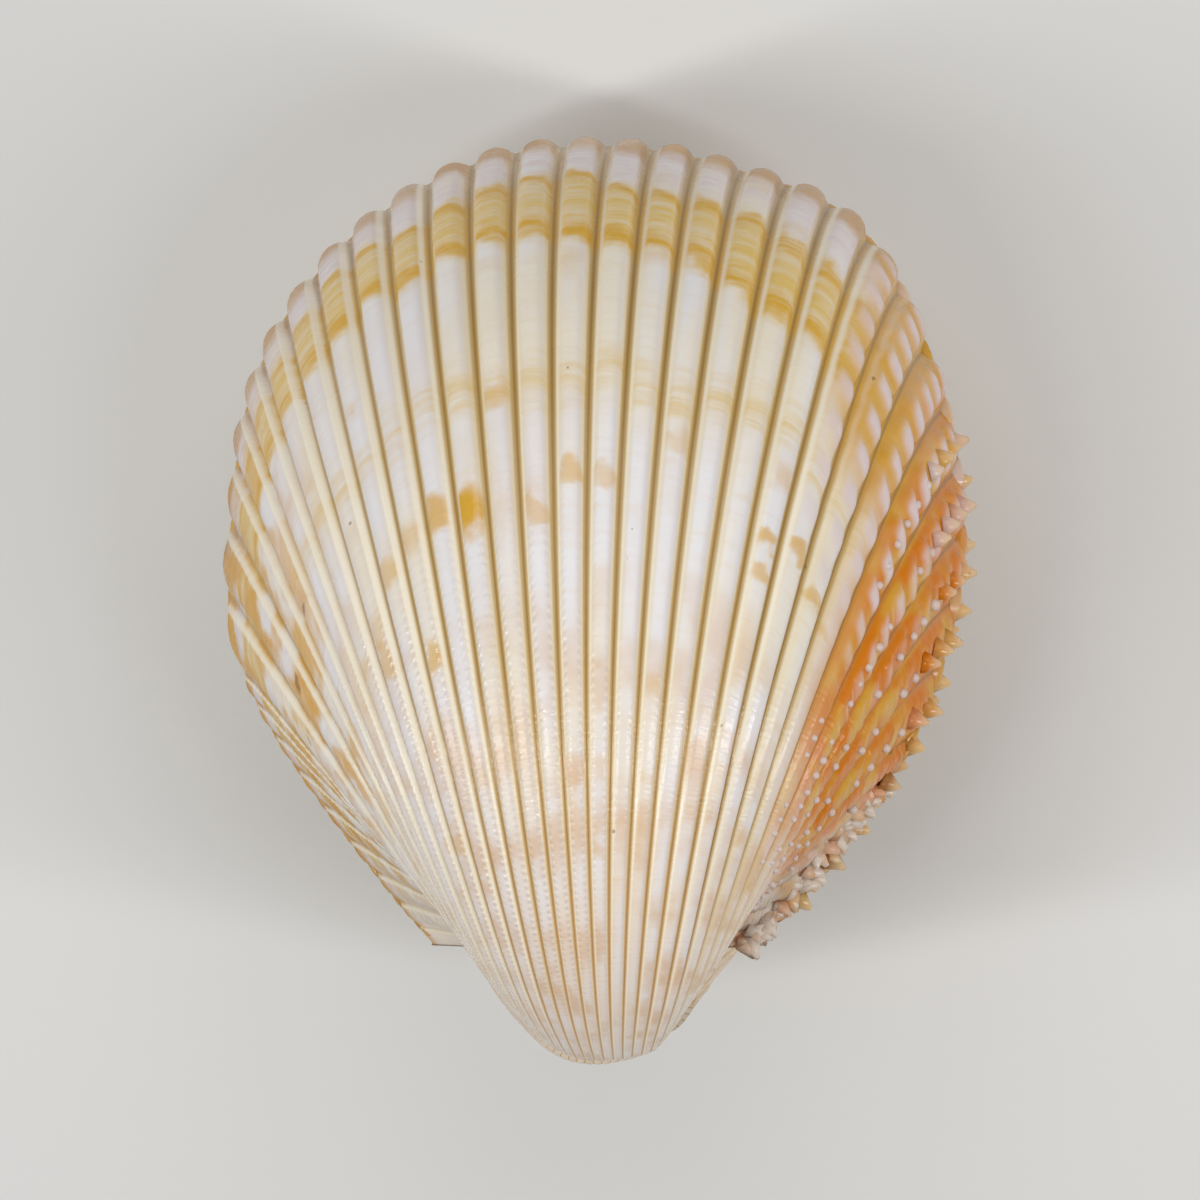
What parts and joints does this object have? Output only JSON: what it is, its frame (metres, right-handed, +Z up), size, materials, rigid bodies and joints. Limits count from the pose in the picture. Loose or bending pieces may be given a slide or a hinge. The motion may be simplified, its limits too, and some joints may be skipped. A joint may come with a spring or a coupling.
{
  "type": "cockle shell",
  "caption": "Closed cockle shell with radiating ribs, a toothed rear slope and incurved beaks, lying on its side.",
  "frame": {"origin": "centre of the bounding box, on the surface that the shell lies on", "axes": "+Z up, away from the surface; +Y from the beaks to the ventral margin, along the table; +X to the posterior, spined side. The right valve is on top and the left valve underneath. The plane where the valves meet slopes down to the ventral margin by about 19 degrees."},
  "size_m": [0.0588, 0.0712, 0.0564],
  "materials": {
    "upper_shell": "gloss",
    "lower_shell": "gloss",
    "ligament": "satin"
  },
  "bodies": {
    "root": {"right_valve": "upper_shell", "left_valve": "lower_shell", "ligament": "ligament"}
  },
  "joints": []
}
